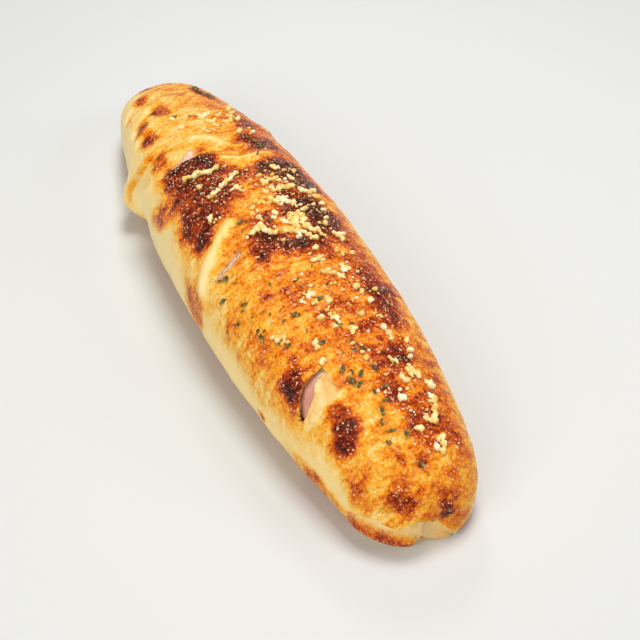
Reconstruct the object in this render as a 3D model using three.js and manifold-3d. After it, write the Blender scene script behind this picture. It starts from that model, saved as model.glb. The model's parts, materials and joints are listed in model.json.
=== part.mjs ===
// A stromboli: one long loaf of bread dough rolled round ham, slashed three times across
// its shoulder, strewn with grated cheese and dried herbs, and baked until the top scorched.
// Millimetres, +Z up. The loaf lies along X with its tucked end at +X, and rests on its
// flat base at Z = 0.
//
// Places on the loaf are given as [along, angle]: millimetres along X from the middle, and
// degrees round the loaf from the top line, growing towards the -Y flank.
import * as THREE from 'three';
import { mergeVertices } from 'three/addons/utils/BufferGeometryUtils.js';
import Module from 'manifold-3d';

const wasm = await Module();
wasm.setup();

// Driving sizes
const LENGTH = 254;
const WIDTH = 63.4;
const HEIGHT = 42.6;
const DOUGH_WALL = 5;
const FLOOR_WALL = 4.5;
const END_WALL = 10;
const CLEARANCE = 0.4;

// Outline of the loaf: each half narrows by a power of its length, then rounds off in a cap
const HALF_LENGTH = LENGTH / 2;
const FAR_HALF = { taper: 0.49, taperPower: 1.95, cap: 27, capPower: 3 };
const NEAR_HALF = { taper: 0.46, taperPower: 2.45, cap: 26.5, capPower: 3.6 };
const CAP_HEIGHT_EXTRA = 0.5;
const SIDE_SHIFT = 0.6;
const END_BOW = 2.2;

// Cross-section: two half superellipses that meet at the belly, cut flat by the base
const BELLY = 0.42;
const TOP_POWER = 2.3;
const FOOT_POWER = 3;
const FOOT_DROP = 1.12;
const RELIEF_FADE = 14;

// Mesh steps of the crust, closer at the two ends and on the shown shoulder
const CRUST_STEPS = { round: 40, along: 60 };
const FILLING_STEPS = { round: 18, along: 24 };
const END_CROWDING = { gain: 1.35, power: 2.857 };
const SHOULDER_CROWDING = { share: 0.3, angle: 35 };
const FILLING_END_POWER = 6;

// Swells, blisters and hollows: place, reach along in mm, reach round in degrees, rise in mm
const SWELLS = [
  { along: -58, angle: 98, long: 7.2, turn: 15.5, rise: 5 }, // foot of the far wrap
  { along: -43.5, angle: 97, long: 6.2, turn: 24, rise: -2.6 }, // hollow below the first slash
  { along: -34, angle: 10, long: 4.5, turn: 30, rise: -1.3 }, // hollow along the first slash
  { along: -21, angle: 33, long: 11, turn: 18, rise: 1.3 }, // scorched swell at the first slash
  { along: 4, angle: 50, long: 11, turn: 9, rise: 0.9 }, // tail of that swell
  { along: 28, angle: 47, long: 4.5, turn: 15, rise: -1.3 }, // hollow along the second slash
  { along: 29, angle: 6, long: 9, turn: 26, rise: 1.1 }, // scorched swell on the crown
  { along: 76, angle: 53, long: 6, turn: 10, rise: 1 }, // scorch before the third slash
  { along: 100, angle: 46, long: 8, turn: 13, rise: 1.5 }, // blister behind the third slash
  { along: -54, angle: -60, long: 6, turn: 12, rise: 1.2 }, // bump on the back shoulder
  { along: 118, angle: 112, long: 8, turn: 18, rise: 0.5 }, // foot of the tucked end
];

// Rolled lips of dough along the slashes, folds and wrinkles
const LIPS = [
  { radius: 2.3, path: [[-51.5, 50], [-51.5, 62], [-54, 75], [-55, 89], [-51, 104]] }, // far wrap edge
  { radius: 1.9, path: [[-28, 13], [-32, 40], [-37, 67], [-38, 80], [-39, 95]] }, // first slash, near lip
  { radius: 1.7, path: [[-46, 21], [-42, 8], [-33, -6]] }, // first slash, far lip
  { radius: 1.6, path: [[-25, 10], [-20, -9], [-23, -35]] }, // crown ridge
  { radius: 2, path: [[9, 22], [16, 42], [21, 54], [24, 66], [30, 76]] }, // second slash, ear
  { radius: 1.8, path: [[79, 31], [81, 45], [82, 54], [84, 62], [88.5, 67]] }, // third slash, far lip
  { radius: 1.7, path: [[89.5, 28], [90, 42], [91.5, 52], [90.5, 63]] }, // third slash, near lip
  { radius: 1.5, path: [[-78, 61], [-84, 45], [-88, 30]] }, // far wrinkle
  { radius: 1.5, path: [[-69, 60], [-71, 44], [-72, 27]] }, // second far wrinkle
  { radius: 1.6, path: [[113, 85], [119, 79], [123.5, 72], [125.6, 54], [126, 20]] }, // tuck edge
];
const LIP_SINK = 0.45;
const LIP_STEPS = { round: 6, along: 8 };

// Knife slashes: from and to, half the opening, depth, and how far the cut leans under its far lip
const SLASHES = [
  { from: [-40.5, 22], to: [-34.5, 47], half: 2.7, depth: 6.6, lean: 1.6 },
  { from: [25.8, 34], to: [28.6, 62], half: 1.4, depth: 6.4, lean: 0.3 },
  { from: [84.6, 29], to: [88.4, 66], half: 4.4, depth: 6.9, lean: 3.4 },
];
const SLASH_CLEAR_ABOVE = 6;
const SLASH_STEPS = { round: 14, along: 14 };

// The tucked end shows its inner dough in a shallow hollow above the base
const TUCK = { middle: [129.8, -1, 4], half: [5, 12, 7] };
const TUCK_STEPS = { round: 16, along: 8 };

// Grated cheese: strands along a path, lumps that stand alone, and zones of scattered crumbs
const STRAND_RADIUS = 1.6;
const STRAND_STEPS = { round: 5, along: 7 };
const STRANDS = [
  [[-20, 40], [-19, 30], [-18.5, 20]],
  [[-5, 33], [-6.5, 27], [-9, 18], [-13.5, 5]],
  [[6.5, 7], [8.5, -3], [9, -13], [12.5, -20]],
  [[22, 25], [21, 15], [26.5, 9]],
  [[26, -18], [28, -22], [30.5, -25]],
  [[29, -35], [33, -38]],
  [[47, -6], [49, -12], [51.5, -21]],
  [[54.5, 17], [55, 10]],
  [[101.5, -36], [108.5, -28]],
];
const LUMPS = [
  [-3.6, 10], [5.7, 38], [41.7, -11], [58.6, 2], [67.5, 6],
  [72, 28], [66, 44], [82.5, 2], [91.5, -30], [97.5, -12],
];
const LUMP_SIZE = 1.9;
const CRUMB_ZONES = [
  { along: [-68, -42], angle: [-38, 4], count: 5, size: 1.3 },
  { along: [-13, 5], angle: [-42, -5], count: 7, size: 1.4 },
  { along: [17, 27], angle: [-18, -1], count: 9, size: 1.8 },
  { along: [39, 65], angle: [-34, 20], count: 6, size: 1.3 },
  { along: [66, 88], angle: [-42, 20], count: 4, size: 1.3 },
  { along: [89, 116], angle: [-42, -12], count: 5, size: 1.4 },
];
const CRUMB_SHAPE = [1.2, 1, 0.9];
const CRUMB_SPREAD = [0.75, 1.25];
const CRUMB_SEED = 7;
const CRUMB_SINK = 0.25;
const GRAIN_ROUGHNESS = 0.3;

// Dried herb flakes: zones, and half the length, width and thickness of a flake
const HERB_ZONES = [
  { along: [30, 60], angle: [42, 72], count: 5 },
  { along: [13, 75], angle: [-12, 40], count: 5 },
  { along: [76, 110], angle: [-4, 22], count: 6 },
  { along: [-92, -15], angle: [-32, 18], count: 4 },
];
const HERB_HALF = [1.9, 1.1, 0.7];
const HERB_SPREAD = [0.8, 1.3];
const HERB_SEED = 23;

const DOUGH_COLOUR = '#dd9b45';
const HAM_COLOUR = '#d9918a';

// Vertices closer than this are one vertex, and a section smaller than this is a point
const SEAM = 1e-4;

const clamp = THREE.MathUtils.clamp;
const radians = THREE.MathUtils.degToRad;
const degrees = THREE.MathUtils.radToDeg;

// Repeatable random numbers from 0 to 1
function dice(seed) {
  let state = seed;
  return () => {
    state = (Math.imul(state, 1664525) + 1013904223) >>> 0;
    return state / 4294967296;
  };
}

// Half width, height and sideways shift of the loaf at a place along it
function girth(along) {
  const share = clamp(along / HALF_LENGTH, -1, 1);
  const half = share < 0 ? FAR_HALF : NEAR_HALF;
  const taper = 1 - half.taper * Math.abs(share) ** half.taperPower;
  const past = clamp((Math.abs(along) - (HALF_LENGTH - half.cap)) / half.cap, 0, 1);
  const power = half.capPower;
  return {
    half: (WIDTH / 2) * taper * (1 - past ** power) ** (1 / power),
    tall: HEIGHT * taper * (1 - past ** (power + CAP_HEIGHT_EXTRA)) ** (1 / power),
    side: SIDE_SHIFT + END_BOW * share ** 2,
  };
}

// Distance from the belly line to the smooth outline of the section
function sectionRadius({ half, tall }, angle) {
  const across = Math.abs(Math.sin(radians(angle)));
  const upward = Math.cos(radians(angle));
  const reach = upward >= 0 ? tall * (1 - BELLY) : tall * BELLY * FOOT_DROP;
  const power = upward >= 0 ? TOP_POWER : FOOT_POWER;
  if (half < SEAM || reach < SEAM) return 0;
  return ((across / half) ** power + (Math.abs(upward) / reach) ** power) ** (-1 / power);
}

// Rise of the skin over the smooth outline
function relief(along, angle) {
  let rise = 0;
  for (const swell of SWELLS) {
    const far = (along - swell.along) / swell.long;
    const round = (angle - swell.angle) / swell.turn;
    rise += swell.rise * Math.exp(-(far * far) - round * round);
  }
  return rise;
}

// A point of the loaf at a depth under its skin, never below the level given as base
function skin(along, angle, depth = 0, base = 0) {
  const section = girth(along);
  const radius = sectionRadius(section, angle);
  const fade = clamp(radius / RELIEF_FADE, 0, 1);
  const out = Math.max(radius + fade * relief(along, angle) - depth, 0);
  const sideways = -Math.sin(radians(angle));
  const upward = Math.cos(radians(angle));
  return new THREE.Vector3(
    along,
    section.side + out * sideways,
    Math.max(section.tall * BELLY + out * upward, base),
  );
}

// Outward direction of the section at a place on the skin
function outward(angle) {
  return new THREE.Vector3(0, -Math.sin(radians(angle)), Math.cos(radians(angle)));
}

// A unit ball, moved vertex by vertex: the place function gets its three coordinates
function shapedBall(steps, place) {
  const geometry = new THREE.SphereGeometry(1, steps.round, steps.along);
  const points = geometry.attributes.position;
  for (let i = 0; i < points.count; i += 1) {
    const spot = place(points.getX(i), points.getY(i), points.getZ(i));
    points.setXYZ(i, spot.x, spot.y, spot.z);
  }
  return geometry;
}

// Turns closed geometry into a solid that can be joined and cut
function solid(geometry) {
  const bare = geometry.clone();
  bare.deleteAttribute('normal');
  bare.deleteAttribute('uv');
  const welded = mergeVertices(bare, SEAM);
  return new wasm.Manifold(new wasm.Mesh({
    numProp: 3,
    vertProperties: new Float32Array(welded.attributes.position.array),
    triVerts: new Uint32Array(welded.index.array),
  }));
}

// Share of the polar way round the ball, from -1 at its lower pole to 1 at its upper pole
function poleShare(y) {
  return 1 - (2 * Math.acos(clamp(y, -1, 1))) / Math.PI;
}

// A loaf-shaped ball at a depth under the skin: poles at the two ends of the loaf
function loaf(steps, halfLength, depth, base, endPower) {
  const lean = radians(SHOULDER_CROWDING.angle);
  return solid(shapedBall(steps, (x, y, z) => {
    const share = poleShare(y);
    const along = halfLength * share * (END_CROWDING.gain
      - (END_CROWDING.gain - 1) * Math.abs(share) ** END_CROWDING.power);
    const even = Math.atan2(Math.abs(z) < SEAM ? 0 : -z, x);
    const angle = degrees(even - SHOULDER_CROWDING.share * Math.sin(even - lean));
    const spot = skin(along, angle, depth, base);
    if (endPower) {
      const shrink = Math.sqrt(Math.max(0, 1 - Math.abs(along / halfLength) ** endPower));
      const middle = skin(along, 0, depth, base).z / 2;
      spot.y *= shrink;
      spot.z = middle + (spot.z - middle) * shrink;
    }
    return spot;
  }));
}

// A rope that tapers to both ends, along a path on the skin and sunk by a share of its radius
function rope(path, radius, sink, steps) {
  const curve = new THREE.CatmullRomCurve3(path.map(([along, angle]) => skin(along, angle, sink * radius)));
  return solid(shapedBall(steps, (x, y, z) => {
    const share = (poleShare(y) + 1) / 2;
    const near = share * (path.length - 1);
    const index = Math.min(Math.floor(near), path.length - 2);
    const angle = THREE.MathUtils.lerp(path[index][1], path[index + 1][1], near - index);
    const ahead = curve.getTangent(share);
    const beside = outward(angle).cross(ahead).normalize();
    const out = ahead.clone().cross(beside);
    return curve.getPoint(share).addScaledVector(out, radius * x).addScaledVector(beside, radius * z);
  }));
}

// The lens of dough that a slanted knife opens
function slashCut({ from, to, half, depth, lean }) {
  return solid(shapedBall(SLASH_STEPS, (x, y, z) => {
    const share = (y + 1) / 2;
    const down = x < 0 ? -x * depth : -x * SLASH_CLEAR_ABOVE;
    const under = x < 0 ? -x * lean : 0;
    const along = THREE.MathUtils.lerp(from[0], to[0], share) + z * half - under;
    return skin(along, THREE.MathUtils.lerp(from[1], to[1], share), down);
  }));
}

// The shallow hollow of the tucked end
function tuckCut() {
  return solid(shapedBall(TUCK_STEPS, (x, y, z) => new THREE.Vector3(
    TUCK.middle[0] + y * TUCK.half[0],
    TUCK.middle[1] + z * TUCK.half[1],
    TUCK.middle[2] + x * TUCK.half[2],
  )));
}

// A rough lump with its three half sizes, turned at random and sunk a little into the skin
function grain(along, angle, halves, sink, roll) {
  const bare = new THREE.IcosahedronGeometry(1, 0);
  bare.deleteAttribute('normal');
  bare.deleteAttribute('uv');
  const geometry = mergeVertices(bare, SEAM);
  const points = geometry.attributes.position;
  const turn = new THREE.Matrix4().makeRotationZ(2 * Math.PI * roll());
  const upright = new THREE.Matrix4().makeRotationX(radians(angle));
  for (let i = 0; i < points.count; i += 1) {
    const swell = 1 + GRAIN_ROUGHNESS * (roll() - 0.5);
    const spot = new THREE.Vector3().fromBufferAttribute(points, i).multiplyScalar(swell);
    spot.multiply(halves).applyMatrix4(turn).applyMatrix4(upright);
    points.setXYZ(i, spot.x, spot.y, spot.z);
  }
  const seat = skin(along, angle, sink * halves.z);
  geometry.translate(seat.x, seat.y, seat.z);
  return solid(geometry);
}

// A value at a share of the way through a range
function within([low, high], share) {
  return THREE.MathUtils.lerp(low, high, share);
}

// Grains spread evenly along a zone and at random round the loaf
function scatter(zone, halves, spread, sink, roll) {
  const pieces = [];
  for (let i = 0; i < zone.count; i += 1) {
    const along = within(zone.along, (i + roll()) / zone.count);
    const angle = within(zone.angle, roll());
    const size = new THREE.Vector3(...halves).multiplyScalar(within(spread, roll()));
    pieces.push(grain(along, angle, size, sink, roll));
  }
  return pieces;
}

function cheese() {
  const roll = dice(CRUMB_SEED);
  const shape = new THREE.Vector3(...CRUMB_SHAPE);
  const strands = STRANDS.map((path) => rope(path, STRAND_RADIUS, CRUMB_SINK, STRAND_STEPS));
  const lumps = LUMPS.map(([along, angle]) => (
    grain(along, angle, shape.clone().multiplyScalar(LUMP_SIZE), CRUMB_SINK, roll)));
  const crumbs = CRUMB_ZONES.map((zone) => (
    scatter(zone, shape.clone().multiplyScalar(zone.size).toArray(), CRUMB_SPREAD, CRUMB_SINK, roll)));
  return [...strands, ...lumps, ...crumbs.flat()];
}

function herbs() {
  const roll = dice(HERB_SEED);
  return HERB_ZONES.map((zone) => scatter(zone, HERB_HALF, HERB_SPREAD, 0, roll)).flat();
}

// The largest body of a solid, without loose scraps and sealed bubbles
function largestBody(whole) {
  const bodies = whole.decompose();
  return bodies.reduce((best, body) => (body.volume() > best.volume() ? body : best));
}

function filling(clearance) {
  return loaf(
    FILLING_STEPS,
    HALF_LENGTH - END_WALL + clearance,
    DOUGH_WALL - clearance,
    FLOOR_WALL - clearance,
    FILLING_END_POWER,
  );
}

function crust() {
  let dough = loaf(CRUST_STEPS, HALF_LENGTH, 0, 0);
  for (const lip of LIPS) dough = dough.add(rope(lip.path, lip.radius, LIP_SINK, LIP_STEPS));
  for (const piece of [...cheese(), ...herbs()]) dough = dough.add(piece);
  for (const slash of SLASHES) dough = dough.subtract(slashCut(slash));
  return largestBody(dough.subtract(tuckCut()).subtract(filling(CLEARANCE)));
}

function named(name, body, colour, roughness) {
  const shape = body.getMesh();
  const geometry = new THREE.BufferGeometry();
  geometry.setAttribute('position', new THREE.BufferAttribute(shape.vertProperties, shape.numProp));
  geometry.setIndex(new THREE.BufferAttribute(shape.triVerts, 1));
  geometry.computeVertexNormals();
  const material = new THREE.MeshStandardMaterial({ color: colour, roughness, metalness: 0 });
  const mesh = new THREE.Mesh(geometry, material);
  mesh.name = name;
  return mesh;
}

const stromboli = new THREE.Group();
stromboli.add(named('dough_crust', crust(), DOUGH_COLOUR, 0.6));
stromboli.add(named('ham_filling', filling(0), HAM_COLOUR, 0.45));

export default stromboli;
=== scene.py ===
# %% [markdown]
# # A stromboli
# A stromboli is bread dough rolled round ham, slashed across its shoulder, strewn with grated cheese
# and dried herbs, and baked until its top scorches. The part's solids give its size and place. They
# are loaded as a fixed frame, and every piece here is built round them in metres, with +Z up and +X
# along the loaf to its tucked end.

# %% Load the frame
import json
import math

import bpy
import numpy as np
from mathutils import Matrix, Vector, noise

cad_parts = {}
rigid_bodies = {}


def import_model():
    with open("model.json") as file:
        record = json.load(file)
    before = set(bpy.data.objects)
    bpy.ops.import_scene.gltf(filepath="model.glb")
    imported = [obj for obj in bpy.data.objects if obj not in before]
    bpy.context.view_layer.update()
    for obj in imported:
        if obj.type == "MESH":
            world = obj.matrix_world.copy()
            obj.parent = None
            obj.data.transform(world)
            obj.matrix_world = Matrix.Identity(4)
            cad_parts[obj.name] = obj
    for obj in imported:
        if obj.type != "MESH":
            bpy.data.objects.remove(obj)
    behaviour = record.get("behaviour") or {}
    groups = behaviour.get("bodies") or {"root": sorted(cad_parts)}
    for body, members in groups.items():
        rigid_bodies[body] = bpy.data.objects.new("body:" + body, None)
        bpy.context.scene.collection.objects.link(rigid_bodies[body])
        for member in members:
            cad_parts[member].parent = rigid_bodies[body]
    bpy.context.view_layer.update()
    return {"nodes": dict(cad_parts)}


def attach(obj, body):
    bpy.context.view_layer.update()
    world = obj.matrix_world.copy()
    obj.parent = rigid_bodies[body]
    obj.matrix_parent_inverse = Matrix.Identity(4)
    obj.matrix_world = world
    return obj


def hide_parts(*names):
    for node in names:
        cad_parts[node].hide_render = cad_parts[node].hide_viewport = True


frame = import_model()
print("solids in the frame:", sorted(frame["nodes"]))

# %% [markdown]
# ## Camera, floor and light
# The loaf is seen from above its tucked end, a little to the slashed side. A long lens keeps the far
# end from shrinking too much. Food is lit with soft sources: one overhead, a wide one beside the pale
# flank, and a weak one on the other side of the tucked end. One small lamp behind the loaf makes the
# oily crust glint, because a small lamp makes small highlights.

# %% Camera
CAMERA_PLACE = (0.2902, -0.1071, 0.2538)
CAMERA_TILT = math.radians(48.95)
CAMERA_TURN = math.radians(65.62)
CAMERA_LENS = 61.9

bpy.ops.object.select_all(action="DESELECT")
bpy.ops.object.camera_add(location=CAMERA_PLACE, rotation=(CAMERA_TILT, 0, CAMERA_TURN))
camera = bpy.context.object
camera.data.lens = CAMERA_LENS
camera.data.sensor_width = 36
camera.data.clip_start = 0.01
bpy.context.scene.camera = camera
bpy.context.scene.view_settings.view_transform = "Standard"
print("camera lens in mm:", camera.data.lens)

# %% Colours and nodes
def colour(code):
    """An sRGB hex colour as linear red, green, blue and alpha."""
    parts = [int(code[i:i + 2], 16) / 255 for i in (1, 3, 5)]
    linear = [p / 12.92 if p <= 0.04045 else ((p + 0.055) / 1.055) ** 2.4 for p in parts]
    return (*linear, 1.0)


def node(tree, kind, inputs=None, stops=None, **settings):
    """Adds a shader node with its settings, its colour stops, and its inputs as values or links."""
    made = tree.nodes.new("ShaderNode" + kind)
    for name, value in settings.items():
        setattr(made, name, value)
    if stops:
        ramp = made.color_ramp.elements
        while len(ramp) < len(stops):
            ramp.new(1)
        for element, (place, code) in zip(ramp, stops):
            element.position = place
            element.color = colour(code)
    for name, value in (inputs or {}).items():
        # A node stands for its first output in use
        if isinstance(value, bpy.types.Node):
            value = next(output for output in value.outputs if output.enabled)
        if isinstance(value, bpy.types.NodeSocket):
            tree.links.new(value, made.inputs[name])
        else:
            made.inputs[name].default_value = value
    return made


def new_material(name):
    """An empty node material, and its tree."""
    material = bpy.data.materials.new(name)
    material.use_nodes = True
    material.node_tree.nodes.clear()
    return material, material.node_tree


def finish_material(piece, material, shader):
    """Shows a shader on a piece, as its one material."""
    node(material.node_tree, "OutputMaterial", {"Surface": shader})
    piece.data.materials.clear()
    piece.data.materials.append(material)
    print("nodes of", material.name, ":", len(material.node_tree.nodes))


# %% Floor
FLOOR_SIZE = 4.0

bpy.ops.mesh.primitive_plane_add(size=FLOOR_SIZE)
floor = bpy.context.object
floor.name = "floor"
# Matt painted board: pale, a touch cool, with no shine of its own
paint, tree = new_material("matt_painted_board")
shader = node(tree, "BsdfPrincipled", {
    "Base Color": colour("#d5dae0"),
    "Roughness": 0.7,
})
finish_material(floor, paint, shader)
print("floor in metres:", FLOOR_SIZE)

# %% Lights
LOAF_MIDDLE = Vector((0.0, 0.0, 0.02))


def softbox(name, place, size, watts, code):
    """A square soft light at a place, turned to the loaf."""
    bpy.ops.object.light_add(type="AREA", location=place)
    lamp = bpy.context.object
    lamp.name = name
    lamp.data.size = size
    lamp.data.energy = watts
    lamp.data.color = colour(code)[:3]
    lamp.rotation_euler = (LOAF_MIDDLE - lamp.location).to_track_quat("-Z", "Y").to_euler()
    return lamp


softbox("overhead_softbox", (-0.05, 0.12, 0.8), 0.3, 4.2, "#fffaf2")
softbox("flank_softbox", (0.45, -0.65, 0.5), 0.6, 4.5, "#fff8ea")
softbox("near_softbox", (0.45, 0.6, 0.45), 0.4, 1.6, "#fff8ea")
softbox("sparkle_lamp", (-0.5, 0.2, 0.5), 0.12, 0.9, "#fffaf0")
world = bpy.context.scene.world or bpy.data.worlds.new("studio")
bpy.context.scene.world = world
world.use_nodes = True
world.node_tree.nodes.clear()
sky = node(world.node_tree, "Background", {"Color": colour("#f5f0e9"), "Strength": 0.25})
node(world.node_tree, "OutputWorld", {"Surface": sky})

# %% [markdown]
# ## The form of the loaf
# A rolled loaf is one long swelling form: each half narrows to its end and rounds off in a blunt cap,
# and a cross-section is wide and low with a flat foot. Both are superellipses, so a few sizes describe
# them. Every place on the loaf is [along, angle]: millimetres from the middle, and degrees round from
# the top line towards the slashed flank. The same formulas made the solids, so both agree.

# %% Sizes of the loaf, in millimetres
MM = 0.001
HALF_LENGTH = 127.0
WIDTH = 63.4
HEIGHT = 42.6
DOUGH_WALL = 5.0
FLOOR_WALL = 4.5
END_WALL = 10.0
HAM_GAP = 0.4
FAR_HALF = {"taper": 0.49, "taper_power": 1.95, "cap": 27.0, "cap_power": 3.0}
NEAR_HALF = {"taper": 0.46, "taper_power": 2.45, "cap": 26.5, "cap_power": 3.6}
CAP_HEIGHT_EXTRA = 0.5
SIDE_SHIFT = 0.6
END_BOW = 2.2
BELLY = 0.42
TOP_POWER = 2.3
FOOT_POWER = 3.0
FOOT_DROP = 1.12
RELIEF_FADE = 14.0

# Swells, blisters and hollows: along, angle, reach along, reach round, rise
SWELLS = [
    (-58, 98, 7.2, 15.5, 5.0),
    (-43.5, 97, 6.2, 24, -2.6),
    (-34, 10, 4.5, 30, -1.3),
    (-21, 33, 11, 18, 1.3),
    (4, 50, 11, 9, 0.9),
    (28, 47, 4.5, 15, -1.3),
    (29, 6, 9, 26, 1.1),
    (76, 53, 6, 10, 1.0),
    (100, 46, 8, 13, 1.5),
    (-54, -60, 6, 12, 1.2),
    (118, 112, 8, 18, 0.5),
]


# %% Formulas of the loaf
def girth(along):
    """Half width, height and sideways shift of the loaf at a place along it."""
    share = np.clip(along / HALF_LENGTH, -1, 1)
    size = {key: np.where(share < 0, FAR_HALF[key], NEAR_HALF[key]) for key in FAR_HALF}
    taper = 1 - size["taper"] * np.abs(share) ** size["taper_power"]
    past = np.clip((np.abs(along) - (HALF_LENGTH - size["cap"])) / size["cap"], 0, 1)
    power = size["cap_power"]
    half = WIDTH / 2 * taper * (1 - past ** power) ** (1 / power)
    tall = HEIGHT * taper * (1 - past ** (power + CAP_HEIGHT_EXTRA)) ** (1 / power)
    return half, tall, SIDE_SHIFT + END_BOW * share ** 2


def section_radius(along, angle):
    """Distance from the belly line to the smooth outline of the section."""
    half, tall, _ = girth(along)
    turn = np.radians(angle)
    upper = np.cos(turn) >= 0
    reach = np.where(upper, tall * (1 - BELLY), tall * BELLY * FOOT_DROP)
    power = np.where(upper, TOP_POWER, FOOT_POWER)
    sideways = np.abs(np.sin(turn)) / np.maximum(half, 1e-6)
    upward = np.abs(np.cos(turn)) / np.maximum(reach, 1e-6)
    return (sideways ** power + upward ** power) ** (-1 / power)


def humps(along, angle, places):
    """Sum of smooth humps, each given by its place, its two reaches and its rise."""
    rise = np.zeros_like(along)
    for hump_along, hump_angle, long, turn, height in places:
        far = ((along - hump_along) / long) ** 2 + ((angle - hump_angle) / turn) ** 2
        rise += height * np.exp(-far)
    return rise


def skin(along, angle, depth=0.0, base=0.0):
    """Points of the loaf at a depth under its skin, never below the level given as base."""
    along, angle = np.broadcast_arrays(np.asarray(along, float), np.asarray(angle, float))
    _, tall, side = girth(along)
    radius = section_radius(along, angle)
    fade = np.clip(radius / RELIEF_FADE, 0, 1)
    out = np.maximum(radius + fade * humps(along, angle, SWELLS) - depth, 0)
    turn = np.radians(angle)
    upward = np.maximum(tall * BELLY + out * np.cos(turn), base)
    return np.stack([along, side - out * np.sin(turn), upward], axis=-1)


def outward(angle):
    """Direction out of the section at an angle."""
    turn = np.radians(np.asarray(angle, float))
    return np.stack([np.zeros_like(turn), -np.sin(turn), np.cos(turn)], axis=-1)


# %% Helpers for meshes
def points_of(piece):
    """A piece's vertices in millimetres."""
    flat = np.empty(3 * len(piece.data.vertices))
    piece.data.vertices.foreach_get("co", flat)
    return flat.reshape(-1, 3) / MM


def normals_of(piece):
    """A piece's vertex normals."""
    flat = np.empty(3 * len(piece.data.vertices))
    piece.data.vertex_normals.foreach_get("vector", flat)
    return flat.reshape(-1, 3)


def place_points(piece, points):
    """Moves a piece's vertices to points in millimetres."""
    piece.data.vertices.foreach_set("co", (points * MM).ravel())
    piece.data.update()


def set_attribute(piece, name, values):
    """Stores one number for each vertex, for a material to read."""
    layer = piece.data.attributes.get(name) or piece.data.attributes.new(name, "FLOAT", "POINT")
    layer.data.foreach_set("value", np.asarray(values, np.float32))


def ball(name, round_steps, along_steps):
    """A unit ball with its poles on X, and each vertex's three coordinates."""
    bpy.ops.object.select_all(action="DESELECT")
    bpy.ops.mesh.primitive_uv_sphere_add(
        segments=round_steps, ring_count=along_steps, radius=1, rotation=(0, math.pi / 2, 0))
    piece = bpy.context.object
    piece.name = name
    bpy.ops.object.transform_apply(location=False, rotation=True, scale=False)
    return piece, points_of(piece) * MM


def select_only(piece):
    """Selects one piece alone, and makes it active."""
    bpy.ops.object.select_all(action="DESELECT")
    bpy.context.view_layer.objects.active = piece
    piece.select_set(True)


def apply_modifier(piece, kind, **settings):
    """Adds a modifier, and applies it at once."""
    modifier = piece.modifiers.new(kind.title(), kind)
    for name, value in settings.items():
        setattr(modifier, name, value)
    select_only(piece)
    bpy.ops.object.modifier_apply(modifier=modifier.name)


def ball_places(unit, half_length, crowding, lean, crowding_share):
    """Places on the loaf for the vertices of a unit ball, closer together at the ends and at the lean."""
    share = 1 - 2 * np.arccos(np.clip(unit[:, 0], -1, 1)) / math.pi
    along = half_length * share * (crowding - (crowding - 1) * np.abs(share) ** (1 / (crowding - 1)))
    even = np.arctan2(-unit[:, 1], unit[:, 2])
    angle = np.degrees(even - crowding_share * np.sin(even - math.radians(lean)))
    return along, angle


# %% [markdown]
# ## The crust
# The crust is one skin of dough. It could be sculpted by hand, but a sculpted mesh can't be read or
# changed by its sizes. So a dense ball is pressed into the loaf's formulas, and then folds, lips and
# wrinkles are raised on it along short paths, as a baker's fingers and the knife leave them.

# %% Press a ball into the loaf
CRUST_ROUND = 176
CRUST_ALONG = 470
# How much closer the points lie at the ends, the angle that they lean to, and how much they lean
CRUST_CROWDING = (1.15, 20, 0.45)

crust, unit = ball("stromboli_crust", CRUST_ROUND, CRUST_ALONG)
crust_along, crust_angle = ball_places(unit, HALF_LENGTH, *CRUST_CROWDING)
place_points(crust, skin(crust_along, crust_angle))
print("crust faces:", len(crust.data.polygons))

# %% Folds and lips
# Each has a rise, a dip beside it, a reach to its far and its near side, an overhang, how pale its crest
# is baked, how dark the painted shade in the crease under it is, and its path
FOLDS = [
    (1.7, 1.3, 1.3, 0.8, 0.9, 0.0, 0.2,
     [(-53, 42), (-51.5, 50), (-51.2, 62), (-53, 71), (-55, 80), (-55.2, 88), (-54, 96), (-50, 106)]),
    (1.5, 0.0, 0.9, 3.0, -0.5, 0.05, 0, [(-30, 50), (-33.5, 64), (-38, 76), (-40, 88), (-39, 100)]),
    (1.1, 0.0, 0.8, 4.0, -0.4, 0.0, 0, [(-26, 6), (-28.6, 18), (-29.4, 33), (-29.2, 45), (-29.6, 52)]),
    (1.2, 0.6, 2.6, 1.2, 0.4, 0.2, 0, [(-46, 24), (-42, 8), (-33, -8), (-30, -24)]),
    (1.1, 0.3, 1.6, 2.0, 0.0, 0.34, 0, [(-27, 14), (-22, -4), (-22, -20), (-25, -38)]),
    (1.3, 0.4, 2.6, 2.2, 0.3, 0.33, 0, [(9.5, 25), (12.5, 33), (16, 42), (21, 54), (24, 66), (30, 78)]),
    (0.5, 0.0, 3.0, 0.8, 0.7, 0.0, 0,
     [(78.8, 29), (79.7, 38), (80.6, 46), (81.5, 52), (82.9, 57), (85, 62), (88.8, 68)]),
    (1.0, 0.0, 0.7, 1.4, -0.4, 0.26, 0, [(89.4, 26), (90.7, 34), (91.8, 43), (92.3, 51), (90.9, 66)]),
    (0.8, 0.6, 1.6, 1.0, 0.4, 0.08, 0, [(-74, 68), (-80, 54), (-86, 38), (-90, 22)]),
    (0.7, 0.5, 1.6, 1.0, 0.4, 0.06, 0, [(-65, 68), (-69, 54), (-72, 36), (-73, 22)]),
    (0.6, 0.4, 1.6, 1.0, 0.3, 0.04, 0, [(-92, 74), (-97, 58), (-101, 44), (-104, 28)]),
    (-0.9, 0.0, 1.6, 0.8, 0.0, 0.0, 0, [(121, 69), (122.6, 62), (124, 48)]),
    (-0.7, 0.0, 1.5, 1.5, 0.0, -0.12, 0, [(-24, 74), (-19, 64), (-14, 54)]),
]
FOLD_STEPS = 60
FOLD_FADE = 0.16
FOLD_REACH = 12.0
DIP_REACH = 5.0
CREASE_SHADE_PLACE = 1.2
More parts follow.
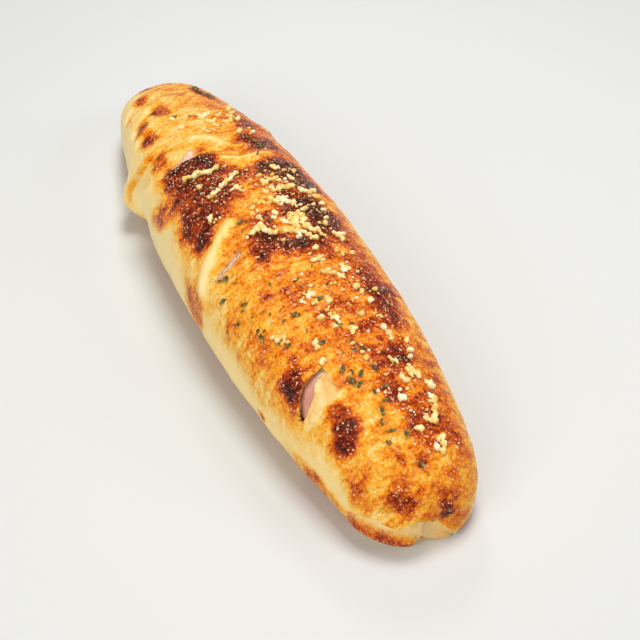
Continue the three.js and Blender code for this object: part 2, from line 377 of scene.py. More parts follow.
CREASE_SHADE_REACH = 0.8


def within(low_high, share):
    """The number at a share of the way from a low to a high one."""
    return low_high[0] + (low_high[1] - low_high[0]) * share


def grown(least_more, share):
    """A size: the least of it, and a share of what may be added."""
    return least_more[0] + least_more[1] * share


def smooth_step(share):
    """A soft rise from 0 to 1."""
    share = np.clip(share, 0, 1)
    return share ** 2 * (3 - 2 * share)


def smooth_path(path, steps):
    """Points along a smooth curve through a path's places."""
    path = np.asarray(path, float)
    ends = np.vstack([2 * path[0] - path[1], path, 2 * path[-1] - path[-2]])
    spots = np.linspace(0, len(path) - 1, steps)
    index = np.minimum(spots.astype(int), len(path) - 2)
    t = (spots - index)[:, None]
    a, b, c, d = (ends[index + k] for k in range(4))
    return 0.5 * (2 * b + (c - a) * t + (2 * a - 5 * b + 4 * c - d) * t ** 2
                  + (3 * b - a - 3 * c + d) * t ** 3)


def fold_field(points, path, far, near):
    """The crest of a fold at each point, from 0 to 1, and the dip and the painted crease shade on its near
    side.
    """
    places = smooth_path(path, FOLD_STEPS)
    line = skin(places[:, 0], places[:, 1])
    across = np.cross(np.gradient(line, axis=0), outward(places[:, 1]))
    across *= np.sign(across[:, :1])
    crest = np.zeros(len(points))
    dip = np.zeros(len(points))
    crease_shade = np.zeros(len(points))
    close = np.abs(points[:, 0] - np.mean(line[:, 0])) < np.ptp(line[:, 0]) / 2 + FOLD_REACH
    offset = points[close, None, :] - line[None]
    nearest = np.argmin(np.sum(offset ** 2, axis=2), axis=1)
    offset = offset[np.arange(len(nearest)), nearest]
    gap = np.linalg.norm(offset, axis=1)
    near_side = np.sum(offset * across[nearest], axis=1) > 0
    reach = np.where(near_side, near, far)
    fade = smooth_step(np.minimum(nearest, FOLD_STEPS - 1 - nearest) / (FOLD_STEPS * FOLD_FADE))
    crest[close] = fade * np.exp(-(gap / reach) ** 2)
    dip[close] = fade * near_side * (np.exp(-(gap / DIP_REACH) ** 2) - np.exp(-(gap / reach) ** 2))
    crease_shade[close] = fade * near_side * np.exp(-((gap - CREASE_SHADE_PLACE) / CREASE_SHADE_REACH) ** 2)
    return crest, dip, crease_shade


crust_points = points_of(crust)
crust_normals = normals_of(crust)
fold_rise = np.zeros(len(crust_points))
fold_over = np.zeros(len(crust_points))
fold_pale_and_crease_shade = np.zeros(len(crust_points))
for rise, sink, far, near, over, pale, brown, path in FOLDS:
    crest, dip, crease_shade = fold_field(crust_points, path, far, near)
    fold_rise += rise * crest - sink * dip
    fold_over += over * crest
    # Crests are baked paler, and the crease under a fold gets painted shade: a darker bake where shadow falls
    # in it
    fold_pale_and_crease_shade += pale * crest - brown * crease_shade
print("folds and lips:", len(FOLDS))

# %% Shelves of the slashes
# The blade leaves a shallow shelf of bare inner dough between two lips: its far and its near edge, its
# depth, the lip at which it is deepest, 0 for the far and 1 for the near one, and how bare it is
SHELVES = [
    {"far": [(-42, 19), (-40.6, 26), (-38, 36), (-34.4, 47)],
     "near": [(-34, 19), (-30.6, 26), (-30, 36), (-30, 47)],
     "depth": 0.9, "deep": 1, "bare": 0.2},
    {"far": [(24, 34), (25, 45), (27, 62)], "near": [(26.4, 34), (28, 45), (29.4, 62)],
     "depth": 0.7, "deep": 0, "bare": 0.5},
    {"far": [(79.6, 31), (80.2, 38), (81.1, 46), (82, 52), (83.4, 57), (85.5, 62), (88.4, 66.5)],
     "near": [(90, 31), (91, 38), (91.8, 46), (92, 52), (91.8, 57), (91.4, 62), (90.6, 66.5)],
     "depth": 0.8, "deep": 0, "bare": 0.85},
]
SHELF_EDGE_MM = 0.5
SHELF_END_DEGREES = 4.0
SHELF_RAMP = 0.6


def shelf_field(along, angle, shelf):
    """Depth of a shelf at each place, from 0 to 1, and how bare it is."""
    far_edge, near_edge = (smooth_path(shelf[side], FOLD_STEPS) for side in ("far", "near"))
    far = np.interp(angle, far_edge[:, 1], far_edge[:, 0])
    near = np.interp(angle, near_edge[:, 1], near_edge[:, 0])
    share = np.clip((along - far) / (near - far), 0, 1)
    edge = smooth_step(np.minimum(along - far, near - along) / SHELF_EDGE_MM)
    end_gap = np.minimum(angle - far_edge[0, 1], far_edge[-1, 1] - angle)
    inside = edge * smooth_step(end_gap / SHELF_END_DEGREES)
    return inside * (1 - SHELF_RAMP * np.abs(shelf["deep"] - share)), inside


shelf_depth = np.zeros(len(crust_points))
shelf_bare = np.zeros(len(crust_points))
for shelf in SHELVES:
    deep, inside = shelf_field(crust_along, crust_angle, shelf)
    shelf_depth += shelf["depth"] * deep
    shelf_bare = np.maximum(shelf_bare, shelf["bare"] * inside)
print("shelves:", len(SHELVES))

# %% The tucked end
# The upper crust curls over the end and leaves an edge, and the dough below it is pale: its edge is given
# by sideways and upward places on the end, and the hollows below it by place, reaches and depth
TUCK_EDGE_SIDE = [-19.0, -15.2, -12.5, -8.9, -5.8, -3.3, 0.3, 4.7, 8.4, 11.0]
TUCK_EDGE_UP = [12.0, 12.3, 12.0, 10.8, 11.6, 12.7, 11.5, 7.0, 2.6, 0.0]
TUCK_FROM = 108.0
TUCK_HOLLOWS = [(2.6, 5.6, 3.6, 4.2, 3.4), (4.6, 8.0, 2.2, 2.0, 1.6), (-1.4, 0.6, 1.3, 2.6, 1.8)]
TUCK_LIP = {"up": 5.4, "slope": -0.18, "reach": 3.2, "rise": 0.8, "side": (-20.0, -2.0)}
FOOT_TUCK = 3.4
FOOT_TUCK_SIDE = 8
FOOT_TUCK_HEIGHT = 6
TUCK_FADE = 8
TUCK_SIDE_FADE = 3
TUCK_UNDER = (0.5, 1.4)
CREST_REACH = (2.6, 0.8)
CREST_RISE = 0.9
TUCK_SINK = 1.3
TUCK_SINK_REACH = 5

end_side = crust_points[:, 1]
end_up = crust_points[:, 2]
at_end = smooth_step((crust_along - TUCK_FROM) / TUCK_FADE)
edge_gap = end_up - np.interp(end_side, TUCK_EDGE_SIDE, TUCK_EDGE_UP)
on_end = at_end * smooth_step((TUCK_EDGE_SIDE[-1] - end_side) / TUCK_SIDE_FADE)
tuck_below = on_end * smooth_step((TUCK_UNDER[0] - edge_gap) / TUCK_UNDER[1])
tuck_crest = on_end * np.exp(-(edge_gap / np.where(edge_gap > 0, *CREST_REACH)) ** 2)
tuck_sink = TUCK_SINK * tuck_below * np.exp(-(np.minimum(edge_gap, 0) / TUCK_SINK_REACH) ** 2)
tuck_sink += at_end * humps(end_side, end_up, TUCK_HOLLOWS)
lip_from, lip_to = TUCK_LIP["side"]
lip_span = smooth_step((end_side - lip_from) / TUCK_SIDE_FADE)
lip_span *= smooth_step((lip_to - end_side) / TUCK_SIDE_FADE)
lip_up = TUCK_LIP["up"] + TUCK_LIP["slope"] * (end_side - np.mean(TUCK_LIP["side"]))
tuck_lip = at_end * lip_span * np.exp(-((end_up - lip_up) / TUCK_LIP["reach"]) ** 4)
tuck_rise = CREST_RISE * tuck_crest - tuck_sink + TUCK_LIP["rise"] * tuck_lip
print("points on the tucked end:", int(np.sum(tuck_below > 0.5)))


# %% Lumps and pimples of the dough
NOISE_SHIFT = np.array([7.3, 3.1, 5.7])
NOISE_DECAY = 0.8
NOISE_STEP = 2.0
NOISE_LIMIT = 1.5


def rough(points, size, seed, octaves=3):
    """Smooth noise from about -1 to 1 with lumps of a size in millimetres."""
    shifted = points / size + seed * NOISE_SHIFT
    values = [noise.fractal(Vector(p), NOISE_DECAY, NOISE_STEP, octaves) for p in shifted]
    return np.clip(np.array(values), -NOISE_LIMIT, NOISE_LIMIT)


STREAK_SLANT = math.radians(22)
STREAK_STRETCH = np.array([1, 0.35, 0.35])
FOOT_BAND = 6
DOUGH_LUMP_MM = 16
STREAK_MM = 3.6
PIMPLE_MM = 1.9
BLISTER_MM = 3.2

slant = np.array([
    [math.cos(STREAK_SLANT), math.sin(STREAK_SLANT), 0],
    [-math.sin(STREAK_SLANT), math.cos(STREAK_SLANT), 0],
    [0, 0, 1],
])
upper_side = np.clip(crust_points[:, 2] / FOOT_BAND, 0, 1)
dough_lumps = rough(crust_points, DOUGH_LUMP_MM, 1)
dough_streaks = rough(crust_points @ slant.T * STREAK_STRETCH, STREAK_MM, 2)
dough_pimples = rough(crust_points, PIMPLE_MM, 3, 2)
dough_blisters = rough(crust_points, BLISTER_MM, 4, 2)
print("points with lumps and pimples:", len(dough_lumps))

# %% [markdown]
# ## The bake
# An oven browns dough unevenly: crests and thin blisters scorch, flanks that face down stay pale, and
# the underside takes colour from the tray. A painted texture could hold that, but numbers on the
# vertices need no image. So one number, the bake, is worked out for each vertex from where it lies, and
# the material turns it into colour.

# %% Paint the bake
# How brown the dough is round the loaf, from 0 pale to 1 nearly black: one row for each place along it,
# between the two sides of the foot, which are the same all along
BAKE_ANGLES = [-180, -122, -110, -98, -84, -66, -45, -20, 0, 20, 40, 55, 65, 75, 88, 100, 112, 122, 180]
BACK_FOOT = [0.6, 0.6, 0.34]
FRONT_FOOT = [0.5, 0.6]
BAKE_ROUND = {
    -95: [0.1, 0.16, 0.36, 0.42, 0.34, 0.3, 0.28, 0.2, 0.13, 0.08, 0.03, 0, 0.02, 0.22],
    -50: [0.1, 0.16, 0.46, 0.52, 0.4, 0.28, 0.24, 0.22, 0.18, 0.1, 0.03, 0, 0.02, 0.22],
    -15: [0.1, 0.16, 0.34, 0.56, 0.5, 0.46, 0.45, 0.45, 0.38, 0.2, 0.05, 0, 0.02, 0.22],
    38: [0.1, 0.1, 0.2, 0.58, 0.48, 0.43, 0.41, 0.38, 0.3, 0.26, 0.2, 0.06, 0.02, 0.22],
    66: [0.1, 0.1, 0.3, 0.64, 0.55, 0.5, 0.48, 0.45, 0.4, 0.4, 0.33, 0.1, 0.02, 0.22],
    105: [0.1, 0.14, 0.26, 0.52, 0.48, 0.37, 0.32, 0.29, 0.26, 0.22, 0.12, 0.06, 0.2, 0.4],
    122: [0.2, 0.36, 0.44, 0.46, 0.43, 0.37, 0.36, 0.37, 0.33, 0.31, 0.34, 0.26, 0.3, 0.4],
}
# Scorched and pale spots: along, angle, reach along, reach round, slant in mm a degree, how brown
SPOTS = [
    (-114, 30, 3, 20, 0, 0.6), (-95, -30, 6, 6, 0, 0.78), (-86, -36, 7, 7, 0, 0.82),
    (-100, 38, 5, 9, 0, 0.62), (-102, -2, 4, 10, 0, 0.42), (-80, 26, 7, 10, 0, 0.6),
    (-74, 50, 5.5, 8, 0, 0.78), (-62, 49, 5.5, 8, 0, 0.76), (-42, 50, 7, 7, 0, 0.72),
    (-89, 61, 3, 4, 0, 0.36), (-54, -36, 9, 10, 0, 0.76), (-33, -31, 9, 17, 0, 0.8),
    (-74, -38, 8, 8, 0, 0.5), (-31, 6, 3.5, 7, 0, 0.62), (-36, 17, 3.5, 8, 0, 0.5),
    (-63, 1, 3, 6, 0, 0.45), (2, 62, 6, 6, 0, 0.5), (84, 62, 6, 7, 0, 0.46), (-21, 33, 11, 22, 0, 0.87),
    (-25, 26, 6, 12, 0, 0.92), (-27, 46, 6.5, 9, 0, 0.88), (-3, 37, 10, 22, 0.25, 0.87),
    (9, 51, 8, 9, 0.1, 0.86), (-1, 48, 9, 8, 0.2, 0.86), (-12, 50, 8, 8, 0, 0.74),
    (-19, 70, 6.5, 13, -0.3, 0.52), (-13, -32, 8, 23, 0, 0.94), (-4, -40, 8, 13, 0, 0.95),
    (19, -34, 12.5, 13, 0, 0.95), (33, -40, 4.5, 6, 0, 0.64), (31.5, -2, 5.5, 26, 0, 0.94),
    (27, 19, 7.5, 11, 0.1, 0.92), (17, 10, 5.5, 11, 0, 0.62), (-8, -8, 8, 10, 0, 0.56),
    (4, -20, 7, 10, 0, 0.74), (57, -39, 9, 8, 0, 0.74), (85, -22, 4.5, 17, 0, 0.76),
    (94, -6, 7, 12, 0, 0.68), (107, -18, 7, 18, 0, 0.72), (101, -49, 5, 5, 0, 0.62),
    (77, -44, 5, 5, 0, 0.52), (118, 1, 2.5, 8, 0, 0.68), (55, 18, 4, 7, 0.2, 0.54),
    (47, 37, 4, 5, 0.2, 0.52), (70, 10, 4, 7, 0.2, 0.54), (82, 20, 4, 6, 0.2, 0.54),
    (43, 26, 4, 5, 0.2, 0.52), (62, 60, 5, 6, 0.2, 0.46), (47, 70, 3.5, 6, 0, 0.46),
    (79, 54, 6.5, 11, 0.3, 0.74), (79.5, 55, 3.2, 8, 0.3, 0.86), (97.5, 41, 6.5, 10, 0, 0.8),
    (100, 45, 4, 7, 0, 0.86), (102.5, 51, 4.2, 11, 0, 0.8), (114, 67, 4.5, 12, 0, 0.5),
    (122, 43, 3, 13, 0, 0.6), (125.8, -22, 1.3, 18, 0, 0.78), (119, -18, 2, 11, 0, 0.26),
    (108, 24, 4, 6, 0, 0.3), (21.5, 87, 9, 15, 0, 0.6), (97.5, 99, 10, 8, 0, 0.5),
    (69.5, 99, 2.5, 5, 0, 0.5), (-57, 80, 4, 12, -0.15, 0.09), (-14, 8, 6, 12, 0, 0.7),
    (-5.6, 20, 6, 10, 0, 0.8), (-14, 23, 5, 9, 0, 0.84), (79.8, 40, 1.7, 9, 0.12, 0.24),
    (14, -15, 5, 11, 0, 0.8), (123.7, 38, 2, 12, 0, 0.62), (118.3, 1, 2, 6, 0, 0.72),
    (114.7, 20, 2, 4, 0, 0.6),
]
SPOT_RAGGED = 1.5
RAGGED_MM = 7
RAGGED_ROUND_MM = 5
WANDER_DEGREES = 5
WANDER_MM = 13


def bake_level(along, angle, points):
    """How brown the dough is at each place."""
    ragged = rough(points, RAGGED_MM, 11)
    ragged_round = rough(points, RAGGED_ROUND_MM, 12)
    turned = np.clip(angle + WANDER_DEGREES * rough(points, WANDER_MM, 13), -180, 180)
    stations = sorted(BAKE_ROUND)
    levels = [BACK_FOOT + BAKE_ROUND[station] + FRONT_FOOT for station in stations]
    rows = np.stack([np.interp(turned, BAKE_ANGLES, level) for level in levels])
    place = np.interp(along, stations, np.arange(len(stations)))
    low = np.minimum(place.astype(int), len(stations) - 2)
    share = smooth_step(place - low)
    index = np.arange(len(along))
    level = rows[low, index] * (1 - share) + rows[low + 1, index] * share
    for spot_along, spot_angle, long, turn, slope, brown in SPOTS:
        round_off = angle - spot_angle + 2 * SPOT_RAGGED * ragged_round
        along_off = along - spot_along - slope * (angle - spot_angle) + SPOT_RAGGED * ragged
        reach = (along_off / long) ** 2 + (round_off / turn) ** 2
        level += (brown - level) * np.exp(-reach ** 2)
    return level


# How much browner streaks, pimples and the tucked end's lip are, and how much paler what lies in a tuck
UNEVEN_FROM = 0.4
STREAK_BROWN = 0.07
PIMPLE_BROWN = 0.05
TUCK_BAKE = 0.03
CREST_PALER = 0.06
LIP_BROWNER = 0.58
SCORCH_LEVEL = 0.85
SCORCH_SLOWER = 0.5
TUCK_CRUMB = 0.6
SHELF_PALER = 0.85

bake = bake_level(crust_along, crust_angle, crust_points) - fold_pale_and_crease_shade
bake = bake + np.clip(bake / UNEVEN_FROM, 0, 1) * (
    STREAK_BROWN * dough_streaks + PIMPLE_BROWN * dough_pimples)
bake = bake * (1 - tuck_below) + tuck_below * TUCK_BAKE - CREST_PALER * tuck_crest + LIP_BROWNER * tuck_lip
bake = np.where(bake > SCORCH_LEVEL, SCORCH_LEVEL + SCORCH_SLOWER * (bake - SCORCH_LEVEL), bake)
crumb = np.clip(shelf_bare + TUCK_CRUMB * tuck_below * (1 - tuck_lip), 0, 1)
bake = bake * (1 - SHELF_PALER * shelf_bare)
print("bake from", bake.min().round(2), "to", bake.max().round(2))

# %% Move the crust's points
# The bake at which wrinkles and blisters begin, over how much more they grow, and rises in millimetres
BROWNED = (0.15, 0.4)
SCORCHED = (0.6, 0.25)
DOUGH_LUMP_RISE = 0.4
STREAK_RISE = (0.05, 0.16)
PIMPLE_RISE = 0.15
BLISTER_RISE = 0.22

browned = np.clip((bake - BROWNED[0]) / BROWNED[1], 0, 1) * (1 - crumb)
scorched = np.clip((bake - SCORCHED[0]) / SCORCHED[1], 0, 1)
rise = fold_rise + tuck_rise - shelf_depth + upper_side * (
    DOUGH_LUMP_RISE * dough_lumps + grown(STREAK_RISE, browned) * dough_streaks
    + PIMPLE_RISE * browned * dough_pimples + BLISTER_RISE * scorched * dough_blisters)
crust_points = crust_points + crust_normals * rise[:, None]
crust_points[:, 0] += fold_over
foot_share = at_end * smooth_step((FOOT_TUCK_SIDE - end_side) / FOOT_TUCK_SIDE)
foot_low = np.clip(1 - crust_points[:, 2] / FOOT_TUCK_HEIGHT, 0, 1)
crust_points[:, 0] -= FOOT_TUCK * foot_share * foot_low ** 2
crust_points[:, 2] = np.maximum(crust_points[:, 2], 0)
place_points(crust, crust_points)
set_attribute(crust, "bake", bake)
set_attribute(crust, "crumb", crumb)
print("height of the crust in mm:", crust_points[:, 2].max().round(1))

# %% [markdown]
# ## The ham
# Sliced ham is rolled up in the dough, and shows only in the slashes, where it swells up between the
# lips. It runs through the whole loaf, so it is one long core under the dough's wall, made from the same
# formulas, and it rises to the surface inside the outline of each slash.

# %% Ham core
# Where the ham shows: the outline of each patch, in places on the loaf, and its depth under the skin
HAM_PATCHES = [
    {"level": 0.3, "outline": [
        (-38.8, 24.5), (-38.2, 29), (-36.2, 33.5), (-34.6, 37.5), (-33, 43.5),
        (-29.6, 43.5), (-29.6, 33), (-32.5, 27.5), (-36.4, 25)]},
    {"level": 0.3, "outline": [
        (25.3, 37), (25.7, 43), (26.4, 52), (27.8, 60), (28.1, 59), (27.2, 50), (26.4, 42), (25.8, 37)]},
    {"level": 0.12, "outline": [
        (77.4, 33), (78.2, 44), (79.3, 52), (80.7, 57), (82.8, 62), (86.4, 68.5), (89, 67.5),
        (88.2, 62), (87.4, 57), (86, 50.5), (84.2, 47.4), (82.8, 45), (82, 41), (80.8, 35)]},
]
HAM_BANK = 3.0
ARC_MM = 0.47
# Where the oven dries it: along, angle, reach along, reach round, how much
HAM_DRIED = [(85.5, 52, 6, 18, 1.0), (26.4, 47, 4, 16, 0.3)]
HAM_END_POWER = 6
HAM_STEPS = (150, 500)
CAVITY_STEPS = (80, 140)
HAM_CROWDING = (1.35, 45, 0.62)
OUTLINE_STEPS = 6
FIBRE_STRETCH = np.array([0.35, 1, 1])
FIBRE_MM = 3
FIBRE_RISE = 0.15
FIBRE_LIMIT = 0.1


def inside_by(along, angle, outline):
    """How far each place is inside an outline, in millimetres, negative outside it."""
    spots = np.stack([along, angle * ARC_MM], axis=1)
    ring = smooth_path(outline + outline[:1], OUTLINE_STEPS * len(outline)) * np.array([1, ARC_MM])
    inside = np.zeros(len(spots), bool)
    gap = np.full(len(spots), np.inf)
    for start, end in zip(ring[:-1], ring[1:]):
        side = end - start
        share = np.clip((spots - start) @ side / (side @ side), 0, 1)
        gap = np.minimum(gap, np.linalg.norm(spots - start - share[:, None] * side, axis=1))
        crosses = (start[1] > spots[:, 1]) != (end[1] > spots[:, 1])
        rise = side[1] if side[1] else 1.0
        inside ^= crosses & (spots[:, 0] < start[0] + side[0] * (spots[:, 1] - start[1]) / rise)
    return np.where(inside, gap, -gap)


def ham_depth(along, angle, patches):
    """Depth of the ham under the skin: the dough's wall, and less where a patch of it shows."""
    depth = np.full(len(along), DOUGH_WALL)
    for patch in patches:
        outside = np.maximum(-inside_by(along, angle, patch["outline"]), 0)
        depth = np.minimum(depth, patch["level"] + HAM_BANK * outside)
    return depth


def filling(name, steps, gap, patches):
    """The core of the loaf, grown by a gap where it cuts the crust, and the places of its vertices."""
    piece, unit = ball(name, *steps)
    half_length = HALF_LENGTH - END_WALL + gap
    along, angle = ball_places(unit, half_length, *HAM_CROWDING)
    base = FLOOR_WALL - gap
    points = skin(along, angle, ham_depth(along, angle, patches) - gap, base)
    shrink = np.sqrt(np.maximum(0, 1 - np.abs(along / half_length) ** HAM_END_POWER))
    middle = skin(along, np.zeros_like(along), DOUGH_WALL - gap, base)[:, 2] / 2
    points[:, 1] *= shrink
    points[:, 2] = middle + (points[:, 2] - middle) * shrink
    place_points(piece, points)
    return piece, along, angle


ham, ham_along, ham_angle = filling("ham_filling_core", HAM_STEPS, 0, HAM_PATCHES)
ham_points = points_of(ham)
ham_rise = FIBRE_RISE * rough(ham_points * FIBRE_STRETCH, FIBRE_MM, 21)
place_points(ham, ham_points + normals_of(ham) * np.minimum(ham_rise, FIBRE_LIMIT)[:, None])
set_attribute(ham, "dried", np.clip(humps(ham_along, ham_angle, HAM_DRIED), 0, 1))
print("ham faces:", len(ham.data.polygons))

# %% [markdown]
# ## The slashes
# A blade opens the dough down to the ham. A knife cut through a mesh has no thickness, so each opening
# is a cutter with a flat floor and steep sides along the blade's path, subtracted with a Boolean
# modifier. So are the cavity of the filling, and a copy of each rise of the ham, which leaves a small
# gap round it. The cut faces are inner dough, marked by a second number, the crumb, which the material
# paints cream, and the far side of a cut is browned.

# %% Cutters
# The path of each blade, half the opening, how deep under the skin it begins and ends, and how brown the far
# side of the cut is
SLASHES = [
    {"path": [(25.4, 35), (26, 42), (26.8, 51), (28, 61)], "half": 0.55, "depth": (-0.8, 1.2), "brown": 0.62},
    {"path": [(79.2, 33), (80, 38), (80.9, 46), (81.8, 52), (83.2, 57), (85.3, 62), (87.8, 66)],
     "half": 0.9, "depth": (-0.02, 0.6), "brown": 0.62},
]
CUT_STEPS = (60, 60)
CUT_BOXY = 1.4
CUT_BAKE = 0.08
PLUG_MARGIN = (2.0, 4.0)
PLUG_GAP = 0.1
PLUG_STEEP = 4.0
PLUG_BELOW = 2.0
PLUG_BROWN = 0.66


def paint_cut(piece, brown, far_side):
    """Marks a cutter's faces as inner dough, browned on the far side."""
    set_attribute(piece, "bake", within((CUT_BAKE, brown), far_side))
    set_attribute(piece, "crumb", 1 - far_side)
    return piece


def slash_cutter(name, slash):
    """The opening that a blade leaves, with a flat floor and steep sides."""
    piece, unit = ball(name, *CUT_STEPS)
    share = (unit[:, 0] + 1) / 2
    line = smooth_path(slash["path"], FOLD_STEPS)
    steps = np.linspace(0, 1, FOLD_STEPS)
    side = np.clip(unit[:, 1] * CUT_BOXY, -1, 1)
    deep = (1 - np.clip(unit[:, 2] * CUT_BOXY, -1, 1)) / 2
    along = np.interp(share, steps, line[:, 0]) - side * slash["half"]
    angle = np.interp(share, steps, line[:, 1])
    place_points(piece, skin(along, angle, within(slash["depth"], deep)))
    return paint_cut(piece, slash["brown"], smooth_step(side))


def ham_plug(name, patch):
    """A copy of the rise of the ham, from which the crust keeps a small gap."""
    piece, unit = ball(name, *CUT_STEPS)
    outline = np.array(patch["outline"], float)
    slant = np.polyfit(outline[:, 1], outline[:, 0], 1)
    outline[:, 0] -= np.polyval(slant, outline[:, 1])
    middle = (outline.max(axis=0) + outline.min(axis=0)) / 2
    half = np.ptp(outline, axis=0) / 2 * math.sqrt(2) + np.array(PLUG_MARGIN)
    angle = middle[1] + half[1] * unit[:, 1]
    side = middle[0] + half[0] * unit[:, 0]
    along = side + np.polyval(slant, angle)
    top = ham_depth(along, angle, [patch]) - PLUG_GAP
    depth = within((DOUGH_WALL + PLUG_BELOW, top), smooth_step(unit[:, 2] * PLUG_STEEP))
    place_points(piece, skin(along, angle, depth))
    return paint_cut(piece, PLUG_BROWN, smooth_step(-side))


print("slashes:", len(SLASHES))

# %% Cut the crust
def outward_faces(piece):
    """Turns all of a closed piece's faces outwards."""
    select_only(piece)
    bpy.ops.object.mode_set(mode="EDIT")
    bpy.ops.mesh.select_all(action="SELECT")
    bpy.ops.mesh.normals_make_consistent(inside=False)
    bpy.ops.object.mode_set(mode="OBJECT")


def keep_main_part(piece):
    """Deletes the loose slivers that the cuts leave beside the main part."""
    select_only(piece)
    bpy.ops.object.mode_set(mode="EDIT")
    bpy.ops.mesh.select_mode(type="VERT")
    bpy.ops.mesh.select_all(action="DESELECT")
    bpy.ops.object.mode_set(mode="OBJECT")
    piece.data.vertices[int(np.argmax(points_of(piece)[:, 2]))].select = True
    bpy.ops.object.mode_set(mode="EDIT")
    bpy.ops.mesh.select_linked()
    bpy.ops.mesh.select_all(action="INVERT")
    bpy.ops.mesh.delete(type="VERT")
    bpy.ops.object.mode_set(mode="OBJECT")


cavity, _, _ = filling("cavity_cutter", CAVITY_STEPS, HAM_GAP, [])
paint_cut(cavity, CUT_BAKE, np.zeros(len(cavity.data.vertices)))
cutters = [slash_cutter(f"slash_cutter_{i}", slash) for i, slash in enumerate(SLASHES)]
cutters += [ham_plug(f"ham_plug_{i}", patch) for i, patch in enumerate(HAM_PATCHES)]
outward_faces(crust)
for cutter in [*cutters, cavity]:
    outward_faces(cutter)
    apply_modifier(crust, "BOOLEAN", object=cutter, operation="DIFFERENCE", solver="MANIFOLD")
    bpy.data.objects.remove(cutter)
keep_main_part(crust)
outward_faces(ham)
bpy.ops.object.select_all(action="DESELECT")
for piece in (crust, ham):
    piece.select_set(True)
bpy.context.view_layer.objects.active = crust
bpy.ops.object.shade_smooth()
triangles = sum(len(face.vertices) - 2 for face in crust.data.polygons)
print("crust triangles after the cuts:", triangles)

# %% [markdown]
# ## Baked dough
# Baked dough is a matt, slightly translucent crumb under a thin glazed skin. Browning runs from cream
# through gold and orange to a nearly black scorch, and it is uneven: the bake number gets mottles of
# some millimetres, slanted streaks of two and grains of less than one, and a colour ramp turns it into
# colour. Scorched skin is oily, so roughness falls as the bake rises. Its glints are smaller than a
# soft light can draw, so pale specks stand for them.

# %% Crust material
# Sizes of the patterns, in metres
MOTTLE_SIZE = 0.0065
STREAK_SIZE = 0.0020
GRAIN_SIZE = 0.0008
PEBBLE_SIZE = 0.0012
GLINT_SPECK_SIZE = 0.0009
PIMPLE_SIZE = 0.0016
BUMP_DEPTH = 0.0014
BAKE_COLOURS = [
    (0.0, "#f4dfa4"), (0.12, "#f4d386"), (0.26, "#f4b432"), (0.40, "#ec8f18"), (0.54, "#d4620d"),
    (0.68, "#9c3006"), (0.82, "#661803"), (1.0, "#340b03"),
]

# Baked dough: soft, faintly see-through at its thin edges, with an oily glint on the scorches
dough, tree = new_material("baked_dough")
place = node(tree, "TexCoord").outputs["Object"]
bake_in = node(tree, "Attribute", attribute_name="bake").outputs["Fac"]
crumb_in = node(tree, "Attribute", attribute_name="crumb").outputs["Fac"]
mottle = node(tree, "TexNoise", {
    "Vector": place, "Scale": 1 / MOTTLE_SIZE, "Detail": 5.0, "Roughness": 0.62, "Distortion": 0.4})
across = node(tree, "Mapping", {
    "Vector": place, "Rotation": (0, 0, -STREAK_SLANT), "Scale": (1.0, 0.24, 0.24)})
streaks = node(tree, "TexNoise", {
    "Vector": across, "Scale": 1 / STREAK_SIZE, "Detail": 3.0, "Roughness": 0.6})
grain = node(tree, "TexNoise", {
    "Vector": place, "Scale": 1 / GRAIN_SIZE, "Detail": 4.0, "Roughness": 0.75})
pebbles = node(tree, "TexVoronoi", {
    "Vector": place, "Scale": 1 / PEBBLE_SIZE, "Smoothness": 0.4}, feature="SMOOTH_F1")
uneven = None
for pattern, share in ((mottle, 1.05), (streaks, 0.65), (grain, 0.8), (pebbles, 0.12)):
    centred = node(tree, "Math", {0: pattern, 1: 0.5}, operation="SUBTRACT")
    uneven = node(tree, "Math", {0: centred, 1: share, 2: uneven or 0.0}, operation="MULTIPLY_ADD")
unevenness = node(tree, "MapRange", {
    "Value": bake_in, "From Min": 0.05, "From Max": 0.3, "To Min": 0.1, "To Max": 1.0})
tone = node(tree, "Math", {
    0: uneven, 1: unevenness, 2: bake_in}, operation="MULTIPLY_ADD")

# %% Colour of the crust
browning = node(tree, "ValToRGB", {"Fac": tone}, stops=BAKE_COLOURS)
# Pale specks are painted glints, the highlights of the oily skin, more of them where the bake is darker
glint_noise = node(tree, "TexNoise", {
    "Vector": place, "Scale": 1 / GLINT_SPECK_SIZE, "Detail": 1.0, "Roughness": 0.5})
painted_glint = node(tree, "MapRange", {
    "Value": glint_noise, "From Min": 0.63, "From Max": 0.7, "To Min": 0.0, "To Max": 0.9})
glint_spread = node(tree, "MapRange", {
    "Value": bake_in, "From Min": 0.2, "From Max": 0.7, "To Min": 0.25, "To Max": 1.0})
glint_share = node(tree, "Math", {0: painted_glint, 1: glint_spread}, operation="MULTIPLY")
with_painted_glints = node(tree, "Mix", {
    "Factor": glint_share, "A": browning, "B": colour("#fad6a4")}, data_type="RGBA")
crumb_colour = node(tree, "ValToRGB", {"Fac": mottle}, stops=[
    (0.36, "#dba04e"), (0.5, "#f2cc90"), (0.64, "#f9e0ae")])
skin_or_crumb = node(tree, "Mix", {
    "Factor": crumb_in, "A": with_painted_glints, "B": crumb_colour}, data_type="RGBA")

